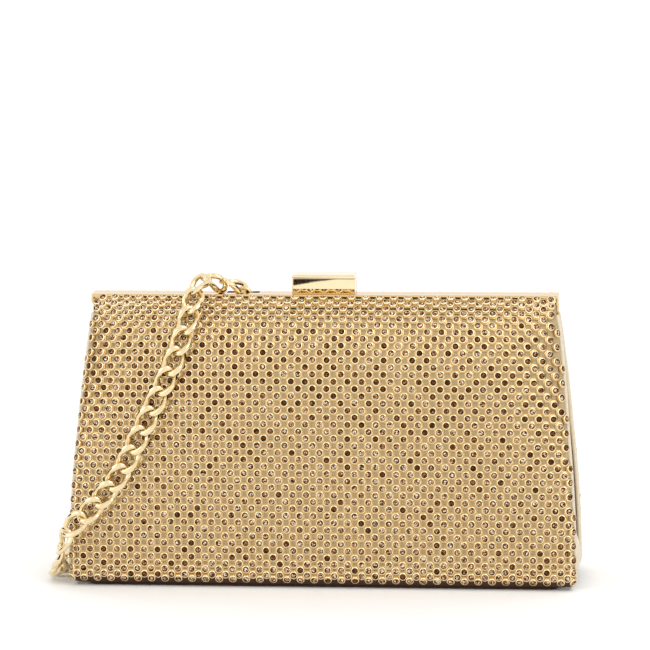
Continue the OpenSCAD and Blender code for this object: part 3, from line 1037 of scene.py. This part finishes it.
def gusset_sheet(name, side, top, low):
    """A closed layer of a gusset between two depths under its outer face."""
    v, z = np.meshgrid(
        np.linspace(-1, 1, 25), np.linspace(GUSSET_LOW, GUSSET_HIGH, 61), indexing="ij"
    )
    e = 0.01
    rise = gusset_points(v, z + e) - gusset_points(v, z - e)
    over = gusset_points(v + e, z) - gusset_points(v - e, z)
    normal = unit(np.cross(over, rise))
    # soft creases that run down the fold
    crease = 0.35 * np.cos(v * math.pi * 2.5) * (1 - v * v) * np.clip((z - 30) / 40, 0, 1)
    base = gusset_points(v, z) - normal * (0.18 + 0.3 * np.abs(crease))[..., None]
    flip = np.array([side, 1.0, 1.0])
    outer = (base - normal * top) * flip
    inner = (base - normal * low) * flip
    return closed_sheet(name, outer, inner, np.stack([outer[..., 1], outer[..., 2]], -1))


class BAG_OT_gussets(bpy.types.Operator):
    """Folded leather gussets and their linings, which stretch between the two halves"""

    bl_idname = "bag.gussets"
    bl_label = "Gussets"

    def execute(self, context):
        for side, word in ((-1, "left"), (1, "right")):
            leather = gusset_sheet(f"{word}_gusset_leather", side, 0.0, 0.7)
            lining = gusset_sheet(f"{word}_gusset_satin", side, 0.95, 1.3)
            for piece, maker, slot, node in (
                (leather, cream_nappa, "leather", f"gusset_{word}"),
                (lining, satin, "lining", f"gusset_lining_{word}"),
            ):
                smooth(piece, 50)
                dress(piece, maker, None, [node])
                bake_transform(piece)
        return {"FINISHED"}


PIPING_R, PIPING_TOP = 0.85, 0.8  # its radius, and the row where it ends under the frame
PIPING_IN, PIPING_BEHIND = 0.8, 1.6  # how far its middle lies inside and behind the mesh's side edge


class BAG_OT_piping(bpy.types.Operator):
    """Leather piping that finishes the side edges of both faces"""

    bl_idname = "bag.piping"
    bl_label = "Piping"

    def execute(self, context):
        t = face_rows(PIPING_TOP)
        for half, word in HALVES:
            sides = []
            for side in (-1, 1):
                last = face_points(np.full_like(t, side), t)
                route = on_half(last - np.array([side * PIPING_IN, PIPING_BEHIND, 0]), half)
                sides.append(tube(f"piping_{side}", route, PIPING_R, 12))
            piping = join(f"{word}_edge_piping", sides)
            smooth(piping, 60)
            dress(piping, cream_nappa, f"{word}_half", [f"{word}_piping"])
        return {"FINISHED"}


def node_box(node):
    """The lowest and highest corners of a frame node, in millimetres."""
    return [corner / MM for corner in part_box(node)]


def refinish(node, maker):
    """Gives a frame node that keeps its shape its finish."""
    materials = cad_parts[node].data.materials
    materials.clear()
    materials.append(made_once(maker))


def rounded_slab(name, node, edge_mm, corner_mm):
    """A slab in a frame node's box: rounded at its four upright corners, then eased all round."""
    slab = block(name, *node_box(node))
    start_edit(slab)
    pick("edges", lambda c, d: abs(d.z) > 0.9)
    bpy.ops.mesh.bevel(offset=corner_mm * MM, segments=6)
    end_edit()
    round_edges(slab, edge_mm, 3)
    smooth(slab, 35)
    return slab


def slab_uv(slab):
    """A flat UV map in metres, seen from above."""
    layer = slab.data.uv_layers.new(name="cloth")
    for loop, place in zip(slab.data.loops, layer.data):
        place.uv = slab.data.vertices[loop.vertex_index].co.xy


class BAG_OT_base(bpy.types.Operator):
    """Leather base cover and the satin base lining"""

    bl_idname = "bag.base"
    bl_label = "Base"

    def execute(self, context):
        # the base cover's dark brown is painted shade under the bag
        cover = rounded_slab("base_cover_leather", "base_cover", 0.35, 4)
        dress(cover, painted_shade_leather, "front_half", ["base_cover"])
        lining = rounded_slab("base_lining_satin", "base_lining", 0.2, 2)
        slab_uv(lining)
        dress(lining, satin, "front_half", ["base_lining"])
        refinish("base_board", grey_board)
        return {"FINISHED"}


# ---------------------------------------------------------------- frame bars and clasp
FLANGE_LOW = 113.9  # underside of the flange that covers the layers' edges
BAR_INNER, BAR_OUTER = 0.3, 5.5
WALL_OUTER, WALL_LOW = 1.2, 106.0  # the wall down the mouth's inside
END_WALL, END_LEG = 0.9, 2.5  # thickness of the closed ends, and how far they reach down
FLANGE_ROUND, BAR_EASE = 0.5, 0.14  # rounding of the flange's outer edge, and of every other edge
NOTCH = ((-39.5, -1, 105), (-26.5, 4.7, 126))  # room in the back bar for the strap's jump ring


def bar(name, half):
    """A frame bar: a flange with a rounded outer edge, a wall down its inside, and closed ends."""
    obj = block(name, (-TOP_HALF, BAR_INNER, FLANGE_LOW), (TOP_HALF, BAR_OUTER, BODY_H))
    start_edit(obj)
    slice_at((0, WALL_OUTER, 0), (0, 1, 0))
    for side in (-1, 1):
        slice_at((side * (TOP_HALF - END_WALL), 0, 0), (1, 0, 0))
    pick("faces", lambda c, n: n.z < -0.9 and c.y < WALL_OUTER)
    extrude(0, 0, WALL_LOW - FLANGE_LOW)
    pick("faces", lambda c, n: n.z < -0.9 and c.y > WALL_OUTER and abs(c.x) > TOP_HALF - END_WALL)
    extrude(0, 0, -END_LEG)
    pick("edges", lambda c, d: abs(d.x) > 0.9 and c.y > BAR_OUTER - 0.1 and c.z > FLANGE_LOW - 0.1)
    bpy.ops.mesh.bevel(offset=FLANGE_ROUND * MM, segments=5)
    end_edit()
    if half > 0:
        cut(obj, block("notch", *NOTCH))
    else:
        select_only(obj)
        bpy.ops.transform.mirror(constraint_axis=(False, True, False), center_override=(0, 0, 0))
        bpy.ops.object.transform_apply(location=True, rotation=True, scale=True)
        outward(obj)
    round_edges(obj, BAR_EASE, 2, 40)
    even_faces(obj)
    return obj


class BAG_OT_frame_bars(bpy.types.Operator):
    """The two polished bars along the bag's mouth"""

    bl_idname = "bag.frame_bars"
    bl_label = "Frame bars"

    def execute(self, context):
        for half, word in HALVES:
            piece = bar(f"{word}_frame_bar", half)
            dress(piece, polished_gold, f"{word}_half", [f"{word}_frame"])
        return {"FINISHED"}


FOOT_H, UNDERCUT = 2.4, 0.95  # the foot of the clasp's front face, and how far it leans in
GROOVE_HALF, GROOVE_Y, CATCH_Y = 6.6, -4.9, -3.5  # the slot that the lever's bead drops into
PLATE_LOW, PLATE_HIGH, PLATE_BACK = 121.55, 122.95, 5.0  # the lever's plate
ARM_HALF, ARM_Y, PIN_Y, PIN_Z = 3.5, 4.0, 7.5, 120.9  # the arm behind it, and the pin it turns on


class BAG_OT_clasp(bpy.types.Operator):
    """The clasp's front block and its bevelled lever"""

    bl_idname = "bag.clasp"
    bl_label = "Clasp"

    def execute(self, context):
        low, high = node_box("front_clasp_block")
        body = block("front_clasp_body", low, high)
        start_edit(body)
        pick("edges", lambda c, d: abs(d.z) > 0.9 and c.y < low.y + 0.2)
        bpy.ops.mesh.bevel(offset=0.5 * MM, segments=2)
        end_edit()
        slot = (-GROOVE_HALF, GROOVE_Y, high.z - 0.5), (GROOVE_HALF, CATCH_Y, high.z + 1)
        groove = block("groove", *slot)
        start_edit(groove)
        pick("faces", lambda c, n: n.y > 0.9)
        extrude(0, 2.9, 0)
        pick("edges", lambda c, d: abs(d.x) > 0.9 and c.y > -1 and c.z < high.z)
        bpy.ops.transform.translate(value=(0, 0, 0.7 * MM))
        end_edit()
        cut(body, groove)
        # the foot of the front face is undercut, so that it mirrors the stones before it
        start_edit(body)
        slice_at((0, 0, low.z + FOOT_H), (0, 0, 1))
        pick("edges", lambda c, d: abs(d.x) > 0.9 and c.y < low.y + 0.2 and c.z < low.z + 0.1)
        bpy.ops.transform.translate(value=(0, UNDERCUT * MM, 0))
        end_edit()
        round_edges(body, 0.1, 2, 40)
        even_faces(body, 8)
        dress(body, clasp_gold, "front_half", ["front_clasp_block"])

        low, high = node_box("clasp_lever")
        plate = block("lever_plate", (low.x, low.y, PLATE_LOW), (high.x, PLATE_BACK, PLATE_HIGH))
        start_edit(plate)
        pick("edges", lambda c, d: c.z > PLATE_HIGH - 0.1 and (abs(d.y) > 0.9 or c.y < low.y + 0.2))
        bpy.ops.mesh.bevel(offset=0.66 * MM, segments=1)
        end_edit()
        round_edges(plate, 0.1, 2, 30)
        arm = block("lever_arm", (-ARM_HALF, ARM_Y, PLATE_LOW), (ARM_HALF, PIN_Y, PLATE_HIGH - 0.35))
        knuckle = rod("lever_knuckle", (-ARM_HALF, PIN_Y, PIN_Z), 2 * ARM_HALF, 1.7, "X", 48)
        round_edges(knuckle, 0.15, 2, 40)
        bead = rod("lever_bead", (-6, (GROOVE_Y + CATCH_Y) / 2, PLATE_LOW), 12, 0.4, "X", 20)
        lever = join("clasp_lever_plate", [plate, arm, knuckle, bead])
        even_faces(lever)
        dress(lever, clasp_gold, "lever", ["clasp_lever"])
        return {"FINISHED"}


class BAG_OT_hardware(bpy.types.Operator):
    """Finishes of the small metal parts that keep their shapes"""

    bl_idname = "bag.hardware"
    bl_label = "Hardware"

    def execute(self, context):
        groups = {
            nickel_steel: (
                "base_hinge_leaf hinge_rod base_leaf_rivets back_hinge_leaf back_leaf_rivets"
                " front_clasp_screws back_clasp_screws clasp_pin clasp_spring"
            ),
            polished_gold: "front_strap_lug front_jump_ring back_strap_anchor back_jump_ring",
            clasp_gold: "back_clasp_block",
        }
        for maker, nodes in groups.items():
            for node in nodes.split():
                refinish(node, maker)
        return {"FINISHED"}


# ---------------------------------------------------------------- chain strap
FLOOR_CHAIN = 2.3  # height of the chain's middle where it lies on the floor
SECOND_LAYER = 6.6  # and where it lies on its own turns
COIL_Y, COIL_HALF = 71.5, 45.0  # the coil's middle, and half the length of its straight runs
OUTER_TURN, INNER_TURN = 25.5, 15.9  # radii of its bends
STRAP_THICK = 0.008  # the chain's mean thickness, in metres
LINK_HALF_W, LINK_TWIST, LINK_FLAT = 4.7, 1.2, 1.9  # half a link's width, its twist, and half its height

# Where the strap leaves the front lug, heaps on the rim, hangs down the front and rounds the lower corner.
# Each row is the point, then the way the chain's flat side faces.
FRONT_ROUTE = [
    ((-33.6, 1.9, 115.4), (-0.9, -0.4, 0.4)),
    ((-35.8, 1.4, 117.5), (-0.7, -0.3, 0.9)),
    ((-38.3, 0.4, 118.5), (-0.2, -0.4, 1)),
    ((-40.8, -1, 118.7), (0.3, -0.4, 1)),
    ((-43.3, -2.6, 119.2), (-0.2, -0.8, 0.8)),
    ((-45.8, -4.6, 120.4), (-0.7, -0.6, 0.6)),
    ((-48.1, -7, 120.5), (-0.8, -0.3, 0.7)),
    ((-49.9, -10, 118.4), (-0.5, -0.8, 0.7)),
    ((-50.8, -14, 115.3), (-0.2, -1, 0.9)),
    ((-51.8, -17.4, 110.8), (-0.2, -1, 0.8)),
    ((-52.9, -20.4, 105.2), (0, -1, 0.6)),
    ((-55.0, -23.3, 98.6), (0, -1, 0.45)),
    ((-57.8, -25.5, 90.8), (0, -1, 0.3)),
    ((-61.7, -26.9, 82), (0, -1, 0.2)),
    ((-65.2, -27.8, 74.5), (0, -1, 0.12)),
    ((-68.8, -28.5, 67), (0, -1, 0.08)),
    ((-72.3, -28.9, 60), (0, -1, 0.04)),
    ((-75.7, -29.1, 53), (0, -1, 0)),
    ((-79.9, -29.3, 45.5), (0, -1, 0)),
    ((-85.6, -29.8, 38.0), (0, -1, 0)),
    ((-91.4, -30.2, 31.7), (-0.1, -1, 0)),
    ((-96.3, -30.8, 27.3), (-0.3, -1, 0.1)),
    ((-100.0, -31.0, 23.4), (-0.7, -0.9, 0.2)),
    ((-102.6, -29.6, 18.4), (-1, -0.5, 0.2)),
    ((-104.6, -27, 13.2), (-1, -0.2, 0.3)),
    ((-106.2, -23.0, 8.4), (-0.9, 0.1, 0.6)),
    ((-107.0, -16, 4.4), (-0.5, 0.2, 1)),
    ((-107, -8, 2.7), (-0.1, 0, 1)),
    ((-107.4, 2, FLOOR_CHAIN), (0, 0, 1)),
    ((-107.8, 12, FLOOR_CHAIN), (0, 0, 1)),
    ((-107.6, 22, FLOOR_CHAIN), (0, 0, 1)),
    ((-102.6, 33.6, FLOOR_CHAIN), (0, 0, 1)),
    ((-91, 41, FLOOR_CHAIN), (0, 0, 1)),
    ((-79, 45.3, FLOOR_CHAIN), (0, 0, 1)),
]
# From the coil's upper turn up the back to the ring
REAR_ROUTE = [
    ((-12, 52.8, SECOND_LAYER), (0, 0, 1)),
    ((0, 52.0, SECOND_LAYER), (0, 0.1, 1)),
    ((10, 50.0, SECOND_LAYER + 0.2), (-0.1, 0.2, 1)),
    ((20, 45.8, 8.0), (-0.3, 0.5, 1)),
    ((27, 41.0, 11.0), (-0.5, 0.9, 0.9)),
    ((31, 37.0, 15.6), (-0.4, 1, 0.6)),
    ((32.6, 34.2, 21.5), (-0.2, 1, 0.3)),
    ((33, 33.0, 29), (0, 1, 0)),
    ((33, 32.4, 42), (0, 1, 0)),
    ((33, 31.6, 56), (0, 1, 0.05)),
    ((33, 30.5, 68), (0, 1, 0.1)),
    ((33, 29.2, 78), (0, 1, 0.15)),
    ((33, 27.9, 86), (0, 1, 0.2)),
    ((33, 26.2, 93.5), (0, 1, 0.3)),
]
REAR_START = 3  # the rear piece of the strap starts at this point of its route


def coil_route():
    """Two flat oval turns behind the bag, then part of a third that climbs onto them."""
    points = []

    def straight(y, xs):
        points.extend((x, y, FLOOR_CHAIN) for x in xs)

    def bend(side, r0, r1, z1=FLOOR_CHAIN, steps=9):
        for share in np.linspace(0, 1, steps).tolist():
            angle = math.pi * (share - side / 2)
            r = r0 + (r1 - r0) * share
            z = FLOOR_CHAIN + (z1 - FLOOR_CHAIN) * share
            points.append((side * COIL_HALF + r * math.cos(angle), COIL_Y + r * math.sin(angle), z))

    straight(COIL_Y - OUTER_TURN, (-67.5, -45, -15, 15))
    bend(1, OUTER_TURN, OUTER_TURN)
    straight(COIL_Y + OUTER_TURN, (15, -15))
    bend(-1, OUTER_TURN, INNER_TURN)
    straight(COIL_Y - INNER_TURN, (-15, 15))
    bend(1, INNER_TURN, INNER_TURN)
    straight(COIL_Y + INNER_TURN, (15, -15))
    bend(-1, INNER_TURN, INNER_TURN, SECOND_LAYER)
    points.append((-30, 53.6, SECOND_LAYER))
    return [(point, (0, 0, 1)) for point in points]


def link_pattern():
    """One curb link: wire bent to a pointed oval, twisted so that it lies flat, its faces flattened."""
    pitch, wire = sizes().link_pitch / MM, sizes().link_wire / MM
    length = (pitch + wire) / 2
    width = LINK_HALF_W - wire / 2
    turns, sides = 24, 8
    turn = np.linspace(0, 2 * math.pi, turns, endpoint=False)
    sharpness = 1.12  # 1 would be an oval with round ends
    pointed = np.sign(np.sin(turn)) * np.abs(np.sin(turn)) ** sharpness
    line = np.stack([length * np.cos(turn), width * pointed, LINK_TWIST * np.sin(2 * turn)], -1)
    tangent = unit(np.roll(line, -1, 0) - np.roll(line, 1, 0))
    out = line * np.array([0.55, 1, 0])
    out = square_to(out, tangent)
    up = np.cross(tangent, out)
    around = np.linspace(0, 2 * math.pi, sides, endpoint=False) + math.pi / sides
    rings = line[:, None] + wire / 2 * (
        np.cos(around)[None, :, None] * out[:, None] + np.sin(around)[None, :, None] * up[:, None]
    )
    points = rings.reshape(-1, 3)
    # ground flat, so that the top and the underside have bright facets
    points[:, 2] = np.clip(points[:, 2], -LINK_FLAT, LINK_FLAT)
    faces = [[corner % len(points) for corner in face] for face in band_faces(turns, sides)]
    return points, faces


def chain(name, points, facing):
    """Links along a route. Gives the piece, its route, and its length in millimetres."""
    route, length = spline(points, 1.0)
    run = np.linspace(0, length, len(route))
    pull = unit(np.gradient(route, axis=0))
    along = run_along(np.asarray(points, float))
    along *= length / along[-1]
    flat = sampled(run, along, np.asarray(facing, float))
    # a whole number of links, so that the last one ends where the route does
    count = round(length / (sizes().link_pitch / MM))
    at = length / count * (np.arange(count) + 0.5)
    place = sampled(at, run, route)
    along_link = unit(sampled(at, run, pull))
    normal = square_to(sampled(at, run, flat), along_link)
    obj = stamped(name, link_pattern(), place, along_link, np.cross(normal, along_link), normal)
    outward(obj)
    smooth(obj, 45)
    return obj, route, length


def strap_piece(name, rows, fittings):
    """A piece of the chain, and a record of it as a limp cord that ends at its fittings."""
    piece, route, length = chain(name, [r[0] for r in rows], [r[1] for r in rows])
    return piece, {
        "length": round(length * MM, 3),
        "diameter": STRAP_THICK,
        "far_end": "object",
        "stiffness": "limp",
        "path": (route[::3] * MM).tolist(),
        "with_pieces": fittings,
    }


class BAG_OT_strap(bpy.types.Operator):
    """Curb chain in two pieces: heaped at the front and coiled behind, then up the back"""

    bl_idname = "bag.strap"
    bl_label = "Chain strap"

    def execute(self, context):
        rows = FRONT_ROUTE + coil_route() + REAR_ROUTE[: REAR_START + 1]
        front, declared = strap_piece("strap_chain", rows, ["front_jump_ring", "front_strap_lug"])
        dress(front, chain_gold, "front_half", ["strap_front_run", "strap_coil"])

        rows = REAR_ROUTE[REAR_START:]
        rear, declared = strap_piece("strap_chain_rear", rows, ["back_jump_ring", "back_strap_anchor"])
        dress(rear, chain_gold, None, ["strap_rear_run"])
        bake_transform(rear)
        return {"FINISHED"}


# ---------------------------------------------------------------- floor, light and camera
def card(name, place, target, size, watts):
    """A square soft light at a place, in metres, that faces its target."""
    light = bpy.data.lights.new(name, "AREA")
    light.shape = "SQUARE"
    light.size = size
    light.energy = watts
    obj = bpy.data.objects.new(name, light)
    bpy.context.scene.collection.objects.link(obj)
    obj.location = place
    obj.rotation_euler = (Vector(target) - Vector(place)).to_track_quat("-Z", "Y").to_euler()


def stage_material(name, code, roughness):
    """A plain matt material for what stands round the bag."""
    material, tree = new_material(name)
    set_shader(tree, Base_Color=linear(code), Roughness=roughness)
    return material


def white_floor():
    """The white paper that the bag stands on."""
    deselect()
    bpy.ops.mesh.primitive_plane_add(size=14, location=(0, 0, -0.0002))
    floor = bpy.context.object
    floor.name = "studio_floor"
    floor.data.materials.append(stage_material("studio_paper_white", "#FEFEFD", 0.9))


def studio_walls():
    """White walls before and behind, and a dark flat at either side that draws the metal's edges."""
    world = bpy.data.worlds.new("studio_white")
    world.use_nodes = True
    tree = world.node_tree
    ray = add_node(tree, "ShaderNodeTexCoord").outputs["Generated"]
    side = add_node(tree, "ShaderNodeSeparateXYZ", (), {0: ray}).outputs["X"]
    either = add_node(tree, "ShaderNodeMath", {"operation": "ABSOLUTE"}, {0: side}).outputs[0]
    stops = ((0.0, "#FFFFFF"), (0.85, "#FFFFFF"), (0.9, "#3A2C1E"), (1.0, "#2E2216"))
    walls = add_node(tree, "ShaderNodeValToRGB", (), {"Fac": either}, stops).outputs["Color"]
    fill(tree, tree.nodes["Background"], {"Color": walls, "Strength": 1.1})
    return world


# A dark card close before the bag, as x and z: the clasp's face mirrors it
FLAG_Y = -65
FLAG_OUTLINE = (
    (-20.6, 113.9),
    (-20.6, 110.2),
    (-16.5, 110.8),
    (-13.0, 111.4),
    (-9.4, 112.1),
    (-5.2, 112.6),
    (-1.6, 113.1),
    (1.0, 113.9),
)


def clasp_flag():
    """The dark card, which shows in mirrors only."""
    corners = [(x, FLAG_Y, z) for x, z in FLAG_OUTLINE]
    flag = mesh_object("dark_flag", corners, [range(len(corners))])
    flag.data.materials.append(stage_material("studio_black_felt", "#2B1D10", 0.95))
    flag.visible_camera = False
    flag.visible_diffuse = False
    flag.visible_shadow = False


CAMERA_TURN, CAMERA_LIFT, CAMERA_ROLL = (math.radians(a) for a in (6, 10, -0.56))
CAMERA_AWAY, CAMERA_Z, CAMERA_LENS = 1.6, 0.057, 220.5  # metres, metres, and millimetres
AIM_UP, AIM_LEFT = 0.0446, 0.00051  # metres from the point that the camera is turned about


def bag_camera(scene):
    """A long lens, a little to the right of the bag and above it."""
    target = Vector((0, 0, CAMERA_Z))
    level = math.cos(CAMERA_LIFT)
    away = Vector(
        (math.sin(CAMERA_TURN) * level, -math.cos(CAMERA_TURN) * level, math.sin(CAMERA_LIFT))
    )
    place = target + away * CAMERA_AWAY
    across = Vector((math.cos(CAMERA_TURN), math.sin(CAMERA_TURN), 0))
    upright = across.cross(-away)
    right = across * math.cos(CAMERA_ROLL) + upright * math.sin(CAMERA_ROLL)
    up = upright * math.cos(CAMERA_ROLL) - across * math.sin(CAMERA_ROLL)
    look = (target + up * AIM_UP - right * AIM_LEFT - place).normalized()
    right = (right - look * right.dot(look)).normalized()
    up = right.cross(look)
    lens = bpy.data.cameras.new("bag_camera")
    lens.sensor_width = 36
    lens.lens = CAMERA_LENS
    lens.clip_end = 30
    camera = bpy.data.objects.new("bag_camera", lens)
    scene.collection.objects.link(camera)
    camera.matrix_world = Matrix.Translation(place) @ Matrix((right, up, -look)).transposed().to_4x4()
    scene.camera = camera


class BAG_OT_stage(bpy.types.Operator):
    """Plain white floor, soft studio light and the camera"""

    bl_idname = "bag.stage"
    bl_label = "Stage"

    def execute(self, context):
        white_floor()
        context.scene.world = studio_walls()
        context.scene.view_settings.view_transform = "Standard"
        card("key_softbox", (1.3, -1.5, 2.0), (0, 0, 0.05), 1.8, 16)
        card("fill_softbox", (-1.6, -1.6, 1.0), (0, 0, 0.05), 1.4, 6)
        clasp_flag()
        bag_camera(context.scene)
        return {"FINISHED"}


class BAG_PT_panel(bpy.types.Panel):
    """Lists the bag's pieces, sizes and colours"""

    bl_idname = "BAG_PT_panel"
    bl_label = "Evening bag"
    bl_space_type = "VIEW_3D"
    bl_region_type = "UI"
    bl_category = "Evening Bag"

    def draw(self, context):
        layout = self.layout
        for group in (context.scene.bag_sizes, context.scene.bag_colours):
            box = layout.box()
            for name in group.__annotations__:
                box.prop(group, name)
        for step in STEPS:
            layout.operator(step.bl_idname)


STEPS = (
    BAG_OT_stage,
    BAG_OT_strap,
    BAG_OT_crystal_mesh,
    BAG_OT_face_layers,
    BAG_OT_slip_pocket,
    BAG_OT_gussets,
    BAG_OT_piping,
    BAG_OT_base,
    BAG_OT_frame_bars,
    BAG_OT_clasp,
    BAG_OT_hardware,
)
CLASSES = (BagSizes, BagColours, *STEPS, BAG_PT_panel)


def register():
    """Adds the classes and the scene's sizes and colours."""
    for cls in CLASSES:
        bpy.utils.register_class(cls)
    bpy.types.Scene.bag_sizes = PointerProperty(type=BagSizes)
    bpy.types.Scene.bag_colours = PointerProperty(type=BagColours)


def unregister():
    """Takes them away again."""
    del bpy.types.Scene.bag_colours
    del bpy.types.Scene.bag_sizes
    for cls in reversed(CLASSES):
        bpy.utils.unregister_class(cls)


def main():
    """Builds the bag and its stage."""
    register()
    for step in STEPS:
        group, name = step.bl_idname.split(".")
        getattr(getattr(bpy.ops, group), name)()


if __name__ == "__main__":
    main()
